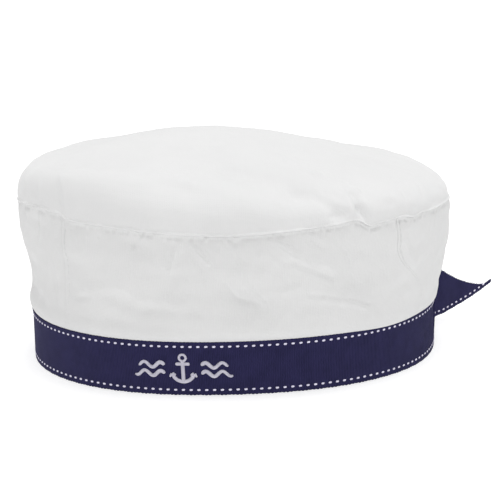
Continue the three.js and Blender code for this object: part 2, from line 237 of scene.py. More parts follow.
# Panel seams: up, and the turn of each of the four seams there
PANEL_SEAMS = np.array([
    [0, 36.6, 151, 209, 323.4], [0.2, 37, 150.4, 209.6, 323], [0.34, 37.6, 148.7, 211.3, 322.4],
    [0.45, 38.1, 145.6, 214.4, 321.9], [0.57, 38.6, 141, 219, 321.4],
    [0.7, 39.1, 138.6, 221.4, 320.9], [0.85, 39.4, 138, 222, 320.6],
    [1, 39.8, 138.2, 221.8, 320.2],
])

# Way of the loose end past the ribbon: out, along and up, as shares of tail_length
TAIL_WAY = np.array([
    [0.02, 0.08, 0.014], [0.07, 0.28, 0.048], [0.17, 0.37, 0.06], [0.32, 0.5, 0.096],
    [0.48, 0.61, 0.15], [0.63, 0.72, 0.212], [0.73, 0.79, 0.262],
])


def smooth(rows, column, at):
    """A column of a table at places between its rows: a cubic in each span, whose slope at a
    row is that of the parabola through the row and its neighbours."""
    keys, values = rows[:, 0], rows[:, column]
    slopes = np.gradient(values, keys)
    i = np.clip(np.searchsorted(keys, at, side="right") - 1, 0, len(keys) - 2)
    span = keys[i + 1] - keys[i]
    t = (at - keys[i]) / span
    t2, t3 = t * t, t * t * t
    return (
        (2 * t3 - 3 * t2 + 1) * values[i]
        + (t3 - 2 * t2 + t) * span * slopes[i]
        + (3 * t2 - 2 * t3) * values[i + 1]
        + (t3 - t2) * span * slopes[i + 1]
    )


def ramp(low, high, at):
    """0 below low, 1 above high and a smooth rise 3t^2 - 2t^3 between them."""
    t = np.clip((at - low) / (high - low), 0, 1)
    return t * t * (3 - 2 * t)


def round_off(reach, radius, at):
    """How far a quarter round of that radius draws an edge in: all of it at the edge itself and
    nothing once `at` is reach away, along a circle."""
    t = 1 - np.clip(at / reach, 0, 1)
    return radius * (1 - np.sqrt(1 - np.minimum(t * t, 1)))


def ripple(points, length, seed):
    """Soft uneven waves of about that length: a sum of sines of the place along random
    directions, so that they meet all round the cap. Their usual height is 1."""
    waves = 12
    rng = np.random.default_rng(seed)
    way = rng.normal(size=(waves, 3))
    way /= np.linalg.norm(way, axis=1)[:, None]
    way *= 2 * np.pi / (length * rng.uniform(0.7, 1.5, (waves, 1)))
    phase = rng.uniform(0, 2 * np.pi, waves)
    return np.sin(points @ way.T + phase).sum(-1) * math.sqrt(2 / waves)


def ripples(points, *rows):
    """Sum of ripples, each with its height and length in mm and its seed."""
    return sum(height * ripple(points, length, seed) for height, length, seed in rows)


def bell(at, middle, width):
    """1 at the middle, falling off to both sides as exp(-(distance / width)^2)."""
    return np.exp(-(((at - middle) / width) ** 2))


def unit(vectors):
    """Vectors divided by their own lengths."""
    return vectors / np.linalg.norm(vectors, axis=-1)[..., None]


def run_along(line):
    """Length along a line of points from its first, as the sum of its spans."""
    return np.concatenate([[0], np.cumsum(np.linalg.norm(np.diff(line, axis=0), axis=1))])


def folds(first, second, table):
    """Depth of all folds of a table at flat places (first, second) in mm: each falls off as
    exp(-(distance / width)^2) from its own segment."""
    depth = np.zeros_like(first)
    for x0, y0, x1, y1, width, deep in table:
        dx, dy = x1 - x0, y1 - y0
        t = np.clip(((first - x0) * dx + (second - y0) * dy) / (dx * dx + dy * dy), 0, 1)
        away = (first - x0 - t * dx) ** 2 + (second - y0 - t * dy) ** 2
        depth += deep * np.exp(-away / width**2)
    return depth


def laid_flat(table):
    """A table of wall folds with turns and ups turned into mm along the wall laid flat."""
    flat = table.copy()
    flat[:, [0, 2]] = np.radians(table[:, [0, 2]]) * mean_radius
    flat[:, [1, 3]] *= side_height
    return flat


def oval(turn, outset):
    """Point of the head oval: an ellipse whose half axes grow by the outset, its radius made
    smaller by oval_fullness times the cosine of four times the turn."""
    a = np.radians(turn)
    r = (1 - oval_fullness * np.cos(4 * a)) / np.hypot(
        np.cos(a) / (half_length + outset), np.sin(a) / (half_width + outset)
    )
    return -r * np.cos(a), -r * np.sin(a)


def half_turn(turn):
    """Turn from the brow, 0 to 180, the same on both sides of the cap."""
    round_turn = np.mod(turn, 360)
    return np.minimum(round_turn, 360 - round_turn)


def seam_z(turn):
    """Height of the seam under the top, by SEAM_LINE."""
    return seam_height + seam_wave * smooth(SEAM_LINE, 1, half_turn(turn))


def wall_swell(turn, up):
    """Swell of the side wall past the head oval: the ear column, and the brow or nape column
    by the square of the cosine of the turn."""
    facing = np.cos(np.radians(turn))
    at = np.clip(up, 0, 1)
    ends = np.where(facing > 0, smooth(WALL_SECTIONS, 1, at), smooth(WALL_SECTIONS, 3, at))
    ears = smooth(WALL_SECTIONS, 2, at)
    return side_swell * (ears + (ends - ears) * facing**2)


def ribbon_out(turn, z):
    """How far the ribbon's face stands out past the head oval: between the columns of
    RIBBON_SECTIONS, straight up to four fifths of its height and by a square above that."""
    rim, high, top = (smooth(RIBBON_SECTIONS, i, half_turn(turn)) for i in (1, 2, 3))
    share = np.clip(z / band_height, 0, 1.02)
    rest = np.clip(share - 0.8, 0, 0.22) / 0.2
    return rim + (high - rim) * np.minimum(share / 0.8, 1) + (top - high) * rest**2


def along_oval(outset, z):
    """Table of turn and arc length in mm, from turn 90, round the ribbon's face at a height."""
    turn = np.linspace(0, 360, 7201)
    arc = run_along(np.stack(oval(turn, outset + ribbon_out(turn, z)), -1))
    return turn, arc - np.interp(90, turn, arc), arc[-1]


def grid_faces(rows, columns, ring=False):
    """Corners of the quads of a grid. Rows run up and columns anticlockwise seen from above,
    so the faces look outwards. A ring's last column joins its first."""
    r, c = np.meshgrid(np.arange(rows - 1), np.arange(columns - (not ring)), indexing="ij")
    here, there = r * columns + c, r * columns + (c + 1) % columns
    return np.stack([here, there, there + columns, here + columns], -1).reshape(-1, 4)


def grid_corners(u, v):
    """The same quads' corners in a flat layout, u and v given on all grid lines."""
    flat = np.stack([u, v], -1)
    around = flat[:-1, :-1], flat[:-1, 1:], flat[1:, 1:], flat[1:, :-1]
    return np.stack(around, 2).reshape(-1, 2)


def put_in(name, points, quads, corners, triangles, material, thickness=0):
    """Makes an object of points in mm round the headband's middle, quads and triangles. Corners
    is the flat layout in mm of every face corner. A thickness in mm closes a sheet of cloth."""
    mesh = bpy.data.meshes.new(name)
    placed = (points.reshape(-1, 3) + [centre_x, 0, 0]) / 1000
    mesh.from_pydata(placed.tolist(), [], quads.tolist() + list(triangles))
    if corners is not None:
        layer = mesh.uv_layers.new(name="flat_layout")
        extra = np.zeros((len(mesh.loops) - len(corners), 2))
        layer.data.foreach_set("uv", np.concatenate([corners, extra]).ravel() / 1000)
    mesh.polygons.foreach_set("use_smooth", np.ones(len(mesh.polygons), bool))
    mesh.materials.append(material)
    mesh.update()
    piece = bpy.data.objects.new(name, mesh)
    collection.objects.link(piece)
    if thickness:
        solid = piece.modifiers.new("cloth", "SOLIDIFY")
        solid.thickness = thickness / 1000
        solid.offset = -1
    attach(piece, "root")
    return piece


# Materials


def node(tree, kind, inputs=(), **settings):
    """Adds a node, sets its fields, and sets or links its inputs by name or number."""
    made = tree.nodes.new(kind)
    for key, value in settings.items():
        setattr(made, key, value)
    for key, value in dict(inputs).items():
        if isinstance(value, bpy.types.NodeSocket):
            tree.links.new(value, made.inputs[key])
        else:
            made.inputs[key].default_value = value
    return made


def math_node(tree, operation, *values):
    """Output of a maths node, its values numbers or sockets."""
    return node(tree, "ShaderNodeMath", dict(enumerate(values)), operation=operation).outputs[0]


def wave(tree, along, pitch):
    """Height of a thread row: the sine of the place along it, one wave a pitch in metres."""
    return math_node(tree, "SINE", math_node(tree, "MULTIPLY", along, 2 * math.pi / pitch))


def noise(tree, vector, scale, detail):
    """Output of a noise node at a place, with scale waves a metre."""
    inputs = {"Vector": vector, "Scale": scale, "Detail": detail}
    return node(tree, "ShaderNodeTexNoise", inputs).outputs[0]


def cloth_material(name, colour, dark_blotch_and_shade, height, blotch=30.0, roughness=0.9, sheen=0.08, bump=0.35,
                   depth=0.00012, tint=(1, 1, 1), gloss=0.2, hollow_shade=0.3):
    """A cloth whose colour runs between a darker and a lighter colour by a soft noise, a tone that
    differs at random, and by the height of its threads, which also gives its bump: where the
    threads lie low the colour turns darker, painted shade in the hollows of the weave. Height is a
    function of the tree, the flat layout's u and v and the object's own coordinates."""
    material = bpy.data.materials.new(name)
    material.use_nodes = True
    tree = material.node_tree
    tree.nodes.clear()
    places = node(tree, "ShaderNodeTexCoord")
    flat = node(tree, "ShaderNodeSeparateXYZ", {0: places.outputs["UV"]})
    own = places.outputs["Object"]
    relief = height(tree, flat.outputs[0], flat.outputs[1], own)
    spread = math_node(tree, "MULTIPLY_ADD", noise(tree, own, blotch, 4), 1.6, -0.3)
    # Random tone from the noise, plus painted shade where the threads lie low
    tone_and_hollow_shade = math_node(tree, "MULTIPLY_ADD", relief, hollow_shade, spread)
    mixed = node(
        tree, "ShaderNodeMix", {0: tone_and_hollow_shade, 6: (*dark_blotch_and_shade, 1), 7: (*colour, 1)}, data_type="RGBA"
    )
    lift = node(tree, "ShaderNodeBump", {"Height": relief, "Strength": bump, "Distance": depth})
    shader = node(tree, "ShaderNodeBsdfPrincipled", {
        "Base Color": mixed.outputs[2], "Roughness": roughness, "Specular IOR Level": gloss,
        "Sheen Weight": sheen, "Sheen Roughness": 0.5, "Sheen Tint": (*tint, 1),
        "Normal": lift.outputs[0],
    })
    out = node(tree, "ShaderNodeOutputMaterial")
    tree.links.new(shader.outputs[0], out.inputs[0])
    return material


def poplin(tree, u, v, own):
    """Plain cotton weave: fine upright threads, weaker level ones and a slub noise."""
    slub = noise(tree, own, 900, 3)
    upright = wave(tree, math_node(tree, "MULTIPLY_ADD", slub, 0.0004, u), 0.00074)
    level = wave(tree, math_node(tree, "MULTIPLY_ADD", slub, 0.0004, v), 0.00062)
    woven = math_node(tree, "MULTIPLY_ADD", level, 0.6, upright)
    return math_node(tree, "MULTIPLY_ADD", noise(tree, own, 260, 4), 1.5, woven)


def grosgrain(tree, u, v, own):
    """Cross ribs of the ribbon, with the fine warp threads that run over them."""
    rib = wave(tree, u, rib_pitch / 1000)
    warp = wave(tree, v, 0.00034)
    threads = math_node(tree, "MULTIPLY_ADD", warp, 0.35, rib)
    return math_node(tree, "MULTIPLY_ADD", noise(tree, own, 700, 3), 0.8, threads)


def satin(tree, u, v, own):
    """Embroidery threads side by side across a stroke, a little uneven."""
    uneven = math_node(tree, "MULTIPLY_ADD", noise(tree, own, 800, 2), 0.0003, u)
    return wave(tree, uneven, 0.00042)


def twisted(tree, u, v, own):
    """Two-ply thread: slanting turns along the stitch."""
    slanted = math_node(tree, "MULTIPLY_ADD", v, 0.7, u)
    return wave(tree, slanted, 0.0005)


# Top and side are one white cotton: the top is given a lighter colour and the side a darker one,
# painted light and shade standing in for overhead light reaching the upright wall less
top_cotton = cloth_material(
    "top_cotton", (0.694, 0.694, 0.694), (0.662, 0.662, 0.663), poplin, bump=0.14, hollow_shade=0.1
)
side_cotton = cloth_material(
    "side_cotton", (0.685, 0.685, 0.684), (0.645, 0.645, 0.645), poplin, bump=0.26, hollow_shade=0.22
)
band_cotton = cloth_material("band_cotton", (0.64, 0.64, 0.645), (0.6, 0.6, 0.605), poplin, 60)
# The last number is the painted shade in the hollows between the ribs
navy_ribbon = cloth_material(
    "navy_ribbon", (0.0268, 0.0245, 0.086), (0.0157, 0.0146, 0.0535), grosgrain, 180,
    0.8, 0.05, 0.8, 0.0002, (0.5, 0.5, 0.9), 0.12, 0.45,
)
white_thread = cloth_material(
    "white_thread", (0.84, 0.81, 0.95), (0.72, 0.69, 0.86), twisted, 400, 0.6, 0.2, 0.5, 0.0001
)
grey_satin = cloth_material(
    "grey_satin", (0.67, 0.65, 0.74), (0.52, 0.5, 0.6), satin, 300, 0.45, 0.3, 0.7, 0.00012
)
cotton_thread = cloth_material(
    "cotton_thread", (0.67, 0.67, 0.67), (0.6, 0.6, 0.6), twisted, 400, 0.7, 0.1, 0.5, 0.0001
)
navy_thread = cloth_material(
    "navy_thread", (0.05, 0.044, 0.14), (0.025, 0.021, 0.08), twisted, 400, 0.6, 0.3, 0.5, 0.0001
)


# Side wall


def seam_turn(seam, up):
    """Turn of a panel seam at a height, on a smooth curve through its row of places."""
    return smooth(PANEL_SEAMS, seam % 4 + 1, np.clip(up, 0, 1)) + (360 if seam >= 4 else 0)


def wall_point(turn, up):
    """Outer face of the side wall as an outset past the head oval and a height. The outset is
    the swell less the folds, more soft ripples, gathers that fade below the seam and above the
    hem, and level drag lines, less a tuck just below the seam. Both edges roll in by circles."""
    z = hem_height + (seam_z(turn) - hem_height) * up
    z = z - nape_hem_drop * bell(turn, 139, 12) * np.clip(1 - up, 0, 1) ** 6
    swell = wall_swell(turn, up)
    x, y = oval(turn, swell)
    place = np.stack([x, y, z], -1)
    above, below = up * side_height, (1 - up) * side_height

    hem_fade, edge_fade = ramp(0, 0.14, up), 1 - ramp(0.86, 0.99, up)
    flat = np.radians(np.mod(turn, 360)) * mean_radius, above
    depth = fold_depth * hem_fade * (1 - ramp(0.85, 1, up)) * folds(*flat, laid_flat(WALL_FOLDS))
    depth += fold_depth * hem_fade * edge_fade * folds(*flat, laid_flat(FINE_FOLDS))
    soft = ripples(place, (0.34, 34, 3), (0.17, 15, 4), (0.07, 7, 5))

    upright, level = place * [1, 1, 0.16], place * [0.3, 0.3, 1]
    gathers = (ripple(upright, 11, 6) - gather_bias) * bell(below, 0, 8)
    gathers = gathers + 0.6 * ripple(upright, 6, 7) * bell(below, 0, 4.5)
    hem_gathers = ripple(upright, 9, 8) * bell(above, 3, 5)
    drag = ripple(level, 9, 9) * ramp(0, 10, above) * ramp(2, 14, below)
    tight = 1 + ripples(upright, (0.5, 2.6, 17), (0.2, 8, 18))

    outset = swell - depth + hem_fade * edge_fade * soft
    outset += (
        gather_height * gathers * ramp(0.5, 3.4, below)
        + hem_gather_height * hem_gathers * hem_fade + drag_height * drag
    )
    outset -= round_off(1.2, 0.16, below) + tuck_depth * tight * bell(below, tuck_place, tuck_width)
    rolled, turned_in = np.clip((above + 0.35) / 1.9, 0, 1), 0.35
    outset = turned_in + (outset - turned_in) * np.sqrt(1 - (1 - rolled) ** 2)
    return outset, z


def side_panel(name, seam):
    """One sewn panel between two seams, a grid of the wall's points. Its upright edges roll in
    by circles, and bells across it raise the band of seam allowance at its first seam and dent
    the topstitching beside both. They show less towards the hem."""
    rows = np.concatenate([
        np.linspace(-1.1, 0.3, 6)[:-1], np.linspace(0.3, 3, 8)[:-1], np.linspace(3, 43, 44)[:-1],
        np.linspace(43, side_height - 1.2, 8)[:-1], np.linspace(side_height - 1.2, side_height, 7),
    ]) / side_height
    edge = np.array([0, 0.25, 0.5, 0.8, 1.2, 1.7, 2.2, 2.8, 3.5]) / panel_arc
    middle = np.linspace(4.1, panel_arc - 4.1, 290) / panel_arc
    u, up = np.meshgrid(np.concatenate([edge, middle, 1 - edge[::-1]]), rows)
    start, end = seam_turn(seam, up), seam_turn(seam + 1, up)
    turn = start + (end - start) * u
    outset, z = wall_point(turn, up)

    from_start, from_end = u * panel_arc, (1 - u) * panel_arc
    show = ramp(0.5, 3, up * side_height) * (0.2 + 0.8 * ramp(0.3, 0.8, up))
    outset = outset - show * (round_off(0.4, 0.04, from_start) + round_off(0.4, 0.04, from_end))
    outset += show * allowance_height * bell(from_start, 0.9, 0.55)
    outset -= show * topstitch_dent * bell(from_start, topstitch_inset, 0.6)
    outset -= show * topstitch_dent * bell(from_end, 1.2, 0.8)
    x, y = oval(turn, outset)
    piece = put_in(
        name, np.stack([x, y, z], -1), grid_faces(*u.shape),
        grid_corners(np.radians(turn) * mean_radius, up * side_height), (),
        side_cotton, cloth_thickness,
    )
    return piece


# Top


def dome_base(turn, step):
    """Face of the top without its folds: the seam's oval shrunk by the profile's out share, its
    height between seam and apex by rise plus lean times the cosine of the turn."""
    out, rise, lean = (smooth(DOME_SECTIONS, i, step) for i in (1, 2, 3))
    seam = seam_height + (seam_z(turn) - seam_height) * out**4
    x, y = oval(turn, wall_swell(turn, np.ones_like(turn)))
    z = seam + (apex_height - seam) * (rise + lean * np.cos(np.radians(turn)))
    return np.stack([x * out, y * out, z], -1)


def crown_top_cloth():
    """The round top: the base face moved along its normals, which turn level at the seam. The
    move is the folds and ripples, both fading towards the seam, with gathers and the broad
    swells of TOP_SWELLS near it, fine level creases at the brow's left, a raised welt along the
    seam with a groove above it, and an edge rolled in by a circle."""
    columns = 440
    fine_step = np.linspace(0, 10, 2001)
    profile = dome_base(np.full_like(fine_step, 90.0), fine_step)
    run = run_along(profile)
    distance = np.concatenate([
        [0, 0.12, 0.3, 0.55, 0.8, 1.05, 1.3, 1.6, 1.95, 2.3, 2.7, 3.2, 3.8, 4.5, 5.3],
        np.linspace(6.2, run[-1] - 1.2, 84),
    ])
    turn, away = np.meshgrid(np.arange(columns) * 360 / columns, distance)
    base = dome_base(turn, np.interp(away, run, fine_step))

    along = np.roll(base, -1, 1) - np.roll(base, 1, 1)
    edge = bell(away, 0, 1.2)[..., None]
    radial = np.stack([base[..., 0] / half_length**2, base[..., 1] / half_width**2, 0 * turn], -1)
    normal = unit(np.cross(along, np.gradient(base, axis=0)))
    normal = unit(normal * (1 - edge) + unit(radial) * edge)

    lift = -ramp(0.6, 5, away) * folds(base[..., 0], base[..., 1], TOP_FOLDS)
    lift += ramp(1, 12, away) * ripples(base, (0.16, 42, 11), (0.13, 18, 12), (0.06, 8, 13))
    level = base * [1, 1, 0]
    lift += 0.16 * ripple(level, 9, 14) * bell(away, 2, 6) * ramp(0.4, 2, away)
    lift += 0.22 * ripple(level, 17, 15) * bell(away, 4, 10) * ramp(0.8, 4, away)
    for middle, spread, inward, slant, reach, rise in TOP_SWELLS:
        lift += rise * bell(turn, middle, spread) * bell(away, inward + slant * turn, reach)
    front_left = bell(turn, 62, 26) * bell(away, 13, 8)
    lift += 0.06 * np.sin(away * 2 * np.pi / 3.1 + 0.5 * ripple(base, 20, 16)) * front_left
    lift += welt_height * bell(away, 0.5, 0.42) - groove_depth * bell(away, 2, 1.2)
    lift -= round_off(0.3, 0.02, away)

    points = base + normal * lift[..., None]
    pole = points[-1].mean(0)
    pole[2] += 0.05
    last, count = (len(distance) - 1) * columns, points[..., 0].size
    cap_faces = [[last + c, last + (c + 1) % columns, count] for c in range(columns)]
    wrapped = np.concatenate([base, base[:, :1]], 1)
    corners = grid_corners(wrapped[..., 0], wrapped[..., 1])
    middle = np.stack(
        [points[-1], np.roll(points[-1], -1, 0), np.broadcast_to(pole, (columns, 3))], 1
    )
    corners = np.concatenate([corners, middle[..., :2].reshape(-1, 2)])
    points = np.concatenate([points.reshape(-1, 3), pole[None]])
    piece = put_in(
        "crown_top_cloth", points, grid_faces(len(distance), columns, True), corners, cap_faces,
        top_cotton, cloth_thickness,
    )
    return piece


# Headband and ribbon


def ring_piece(name, section, columns, material):
    """A closed ring whose cross-section rows are an outset and a height: each row runs round the
    head oval at its outset past the ribbon's face, and the last row joins the first."""
    turn = np.arange(columns) * 360 / columns
    outset, z = section[:, :1], section[:, 1:]
    x, y = oval(turn[None], outset + ribbon_out(turn[None], z))
    points = np.stack([x, y, np.broadcast_to(z, x.shape)], -1)
    around = run_along(np.concatenate([section, section[:1]]))
    u, v = np.meshgrid(np.radians(np.arange(columns + 1) * 360 / columns) * mean_radius, around)
    quads = grid_faces(len(section) + 1, columns, True) % (len(section) * columns)
    return put_in(name, points, quads, grid_corners(u, v), (), material)


def headband_section():
    """Cross-section of the headband, anticlockwise: a doubled cotton band 2 mm thick with round
    edges and two dents of topstitching on its inside, each falling off as a bell."""
    low, high, outer, inner, r = 0.0, band_height, band_outer, band_inner, band_round

    def corner(x, z, first):
        """Quarter circle of radius r round (x, z) from an angle in degrees."""
        angle = np.radians(first + np.linspace(0, 90, 5))
        return np.stack([x + r * np.cos(angle), z + r * np.sin(angle)], 1)

    top_z = np.linspace(high - 1, low + 1, 30)
    dents = band_dent * sum(bell(top_z, z, 0.5) for z in band_dent_heights)
    rise = np.array([[outer, z] for z in (0.8, 8, 16, high - 0.8)])
    return np.concatenate([
        rise, corner(outer - r, high - r, 0), corner(inner + r, high - r, 90),
        np.stack([inner + dents, top_z], 1), corner(inner + r, low + r, 180),
        corner(outer - r, low + r, 270),
    ])


def ribbon_edge(arc):
    """Scallops of the ribbon's woven edge, two to every saddle stitch: the size of a sine, more
    and less by a slower sine."""
    size = 0.3 + 0.1 * np.sin(arc * 0.9)
    return size * np.abs(np.sin(np.pi * arc / scallop_pitch)) ** 0.7 - 0.2


def rib_wave(count):
    """Height of the upright ribs at grid columns, rib_columns to a rib: a power of a cosine."""
    return rib_height * (np.abs(np.cos(np.pi * np.arange(count) / rib_columns)) ** 0.7 - 0.5)


def ribbon_cloth():
    """The ribbon: its face runs round the head oval at ribbon_out, raised by upright ribs that
    are a power of a cosine along it, with a bell's hollow along each row of stitches. Both
    edges turn in and are scalloped."""
    turn_table, arc_table, whole = along_oval(0, 12)
    columns = int(round(whole / rib_pitch)) * rib_columns
    arc = np.arange(columns + 1) * whole / columns + arc_table[0]
    turn = np.interp(arc, arc_table, turn_table)
    height = np.array([0.2, 0.4, 0.9, 2.4, 3.6, 12, 21, 22.3, 23.6, 24.15, 24.38])
    t, z = np.meshgrid(turn, height)
    edge = np.maximum(bell(z, 0, 0.9), bell(z, band_height, 0.9))
    sign = np.where(z < band_height / 2, -1, 1)
    z_out = np.clip(z + sign * edge * ribbon_edge(arc)[None], 0.02, band_height + 0.05)
    rows = stitch_inset, band_height - upper_inset
    dent = 0.1 * sum(bell(z, row, 1) for row in rows)
    outset = 0.02 + rib_wave(columns + 1)[None] - dent - 0.12 * edge
    x, y = oval(t, outset + ribbon_out(t, z))
    points = np.stack([x, y, z_out], -1)[:, :-1]
    u, v = np.meshgrid(arc, height)
    piece = put_in(
        "ribbon_cloth", points, grid_faces(len(height), columns, True), grid_corners(u, v), (),
        navy_ribbon, ribbon_thickness,
    )
    return piece


def stitch_row(name, centres, along, outward, length, width, height, material, lean=0.0):
    """Many short stitches in one mesh: each a rounded grain, its width and height falling off
    towards its ends as the power 0.4 of 1 - t^4, set along the seam and turned by lean degrees
    in the cloth's face."""
    sides, levels = 8, 5
    ends = np.linspace(-1, 1, levels + 2)[1:-1]
    around = np.arange(sides) * 2 * np.pi / sides
    fall = (1 - ends**4) ** 0.4
    grain = np.stack([
        np.repeat(ends * length / 2, sides),
        (fall[:, None] * np.cos(around) * width / 2).ravel(),
        (fall[:, None] * np.sin(around) * height / 2).ravel(),
    ], -1)
    grain = np.concatenate([grain, [[-length / 2, 0, 0], [length / 2, 0, 0]]])
    side = np.cross(outward, along)
    tilt = math.radians(lean)
    first = along * math.cos(tilt) + side * math.sin(tilt)
    second = side * math.cos(tilt) - along * math.sin(tilt)
    points = (
        centres[:, None] + grain[None, :, :1] * first[:, None]
        + grain[None, :, 1:2] * second[:, None] + grain[None, :, 2:] * outward[:, None]
    )
    ring, last, tip = np.arange(sides), (levels - 1) * sides, levels * sides
    quads = grid_faces(levels, sides, True)[:, ::-1]
    tips = np.concatenate([
        np.stack([(ring + 1) % sides, ring, np.full(sides, tip)], -1),
        np.stack([last + ring, last + (ring + 1) % sides, np.full(sides, tip + 1)], -1),
    ])[:, ::-1]
    shift = np.arange(len(centres))[:, None, None] * len(grain)
    all_quads = (quads[None] + shift).reshape(-1, 4)
    all_tips = (tips[None] + shift).reshape(-1, 3)
    flat = np.tile(grain[:, :2], (len(centres), 1))
    corners = np.concatenate([flat[all_quads.ravel()], flat[all_tips.ravel()]])
    return put_in(name, points.reshape(-1, 3), all_quads, corners, all_tips.tolist(), material)


def squared_to(along, outward):
    """Unit vectors square to along, nearest to outward: outward less its share along."""
    return unit(outward - along * (outward * along).sum(-1)[:, None])


def ring_stitches(z, phase):
    """Centres and directions of one row of saddle stitches round the ribbon, the first at an
    arc of phase mm from turn 90."""
    turns, arcs, whole = along_oval(0.05, z)
    count = int(round(whole / stitch_pitch))
    arc = phase + np.arange(count) * whole / count
    arc = np.where(arc > arcs[-1], arc - whole, arc)
    turn = np.interp(arc, arcs, turns)

    def at(shift):
        """The row's points a shift in degrees further round."""
        x, y = oval(turn + shift, 0.05 + ribbon_out(turn + shift, z))
        return np.stack([x, y, np.full_like(x, z)], -1)

    along = unit(at(0.2) - at(-0.2))
    outward = unit(np.cross(along, [0, 0, 1.0]))
    return at(0), along, outward


def on_ribbon(arc, z, height):
    """Points on the ribbon's face at mm along it from turn 90, and a height above the face."""
    turns, arcs, _ = along_oval(0, 12)
    turn = np.interp(arc, arcs, turns)
    x, y = oval(turn, height + 0.02 + ribbon_out(turn, z))
    return np.stack([x, y, z], -1)


def strokes():
    """Centre lines and widths of a plain anchor between two pairs of waves, in mm."""
    made = []
    t = np.linspace(0, 1, 60)

    def add(x, y, width, taper=0.12):
        """Adds a stroke whose width is rounded to its ends over the taper's share of it."""
        ends = np.minimum(np.clip(t / taper, 0, 1), np.clip((1 - t) / taper, 0, 1))
        made.append((x, y, 1.12 * width * (0.35 + 0.65 * np.sqrt(1 - (1 - ends) ** 2))))

    add(1.45 * np.sin(2 * np.pi * t), 5.1 - 1.45 * np.cos(2 * np.pi * t), 0.95 + 0 * t, 0.001)
    add(0 * t, 3.9 - 9.6 * t, 1.5 + 0 * t)
    add(-3.1 + 6.2 * t, 2.3 + 0 * t, 1.35 + 0 * t)
    sweep = np.radians(200 + 140 * t)
    add(4.9 * np.cos(sweep), -0.9 + 4.9 * np.sin(sweep), 1.5 + 0 * t)
    for side in (-1, 1):
        tip = side * 4.75, -2.3
        add(tip[0] - side * 1.5 * t, tip[1] + 0.35 - 0.95 * t, 1.3 - 0.4 * t, 0.2)
        add(tip[0] + side * (0.15 + 1.0 * t), tip[1] + 0.2 - 1.6 * t, 1.2 - 0.4 * t, 0.2)
        for level, far in ((1.7, 19.5), (-2.2, 21.5)):
            x = 8 + (far - 8) * t
            add(side * x, level + 1.15 * np.sin((x - 8) * 2 * np.pi / 7.2), 1.7 - 0.5 * t, 0.1)
    return made


def ornament():
    """Satin strokes laid on the ribbon: each a half-round cord across its centre line, as wide
    as the stroke and half a millimetre high."""
    all_points, all_quads, all_corners, count = [], [], [], 0
    angle = np.radians(np.linspace(0, 180, 11))[:, None]
    for x, y, width in strokes():
        dx, dy = np.gradient(x), np.gradient(y)
        length = np.hypot(dx, dy)
        shift = -np.cos(angle) * width / 2
        s = x + dy / length * shift
        z = y - dx / length * shift
        height = -0.1 + 0.62 * np.sin(angle) * np.sqrt(np.clip(width / 1.5, 0.3, 1))
        points = on_ribbon(s + ornament_arc, z + ornament_height, height)[::-1]
        u, v = np.meshgrid(run_along(np.stack([x, y], -1)), np.linspace(0, 2, 11))
        all_quads.append(grid_faces(*points.shape[:2])[:, ::-1] + count)
        all_corners.append(grid_corners(u, v).reshape(-1, 4, 2)[:, ::-1].reshape(-1, 2))
        all_points.append(points.reshape(-1, 3))
        count += points[..., 0].size
    piece = put_in(
        "ribbon_ornament", np.concatenate(all_points), np.concatenate(all_quads),
        np.concatenate(all_corners), (), grey_satin,
    )
    return piece


# Loose end of the ribbon


def tail_line(count):
    """Lower edge of the loose end at even steps: a smooth curve through the lap on the ribbon
    and the rows of TAIL_WAY, each span a cubic whose slopes run between its neighbours."""
    lap_x, lap_y = oval(np.array([181.0, 185.0]), 0.8)
    lap = np.stack([lap_x, lap_y, [0.4, 0.4]], -1)
    knots = np.concatenate([lap, lap[1] + TAIL_WAY * tail_length])
    spans = np.linalg.norm(np.diff(knots, axis=0), axis=1)
    chord = np.concatenate([[0], np.cumsum(np.sqrt(spans))])
    table = np.column_stack([chord, knots])
    fine = np.linspace(0, chord[-1], 2001)
    line = np.stack([smooth(table, i, fine) for i in (1, 2, 3)], -1)
    run = run_along(line)
    at = np.linspace(0, run[-1], count)
    points = np.stack([np.interp(at, run, line[:, i]) for i in range(3)], -1)
    tangent = unit(np.gradient(points, axis=0))
    outward = unit(np.stack([tangent[:, 1], -tangent[:, 0], 0 * at], -1))
    return at, points, tangent, outward


def tail_width(from_tip):
    """Width of the loose end: full, then down along a hollow slanting cut to a thin strip of
    selvedge, tail_strip long."""
    share = np.clip((from_tip - tail_strip) / (tail_cut - tail_strip), 0, 1) ** tail_hollow
    return tail_tip + (band_height - 0.1 - tail_tip) * share


def tail_face(at, points, outward, z, side):
    """Face of the loose end at heights z above its lower edge and side mm out of its middle: it
    leans with the ribbon at the lap, stands upright further out, and bows by half a sine across
    its width."""
    share = at / at[-1]
    lean = 0.035 * (1 - ramp(0, 0.4, share))
    bow = 0.5 * np.sin(np.pi * np.clip(z / band_height, 0, 1)) * ramp(0.15, 0.5, share)
    face = points + outward * (lean * z + bow + side)[..., None]
    return face + np.stack([0 * z, 0 * z, z], -1)


def tail_cloth():
    """The loose end: a strip of the ribbon between its lower edge and tail_width, with the same
    ribs and scalloped lower edge, and with small nicks, a product of two sines, along the cut."""
    steps = rib_columns * int(round(tail_line(3)[0][-1] / rib_pitch)) + 1
    at, points, _, outward = tail_line(steps)
    width = tail_width(at[-1] - at)
    nicks = 0.16 * np.clip(np.sin(at * 9.1) * np.sin(at * 3.7 + 1), 0, 1)
    width = width - nicks * (width < 23)
    bands = np.array([0, 0.012, 0.035, 0.09, 0.15, 0.3, 0.5, 0.7, 0.88, 0.96, 0.985, 1])[:, None]
    z = bands * width + 0 * at
    edge = bell(z, 0, 0.9)
    side = rib_wave(steps)[None] - 0.1 * bell(z, stitch_inset, 1)
    face = tail_face(at, points[None], outward[None], z, side + ribbon_thickness / 2)
    face[..., 2] -= edge * ribbon_edge(at)[None]
    piece = put_in(
        "ribbon_end_cloth", face, grid_faces(*z.shape), grid_corners(at + 0 * z, z), (),
        navy_ribbon, ribbon_thickness,
    )
    return piece


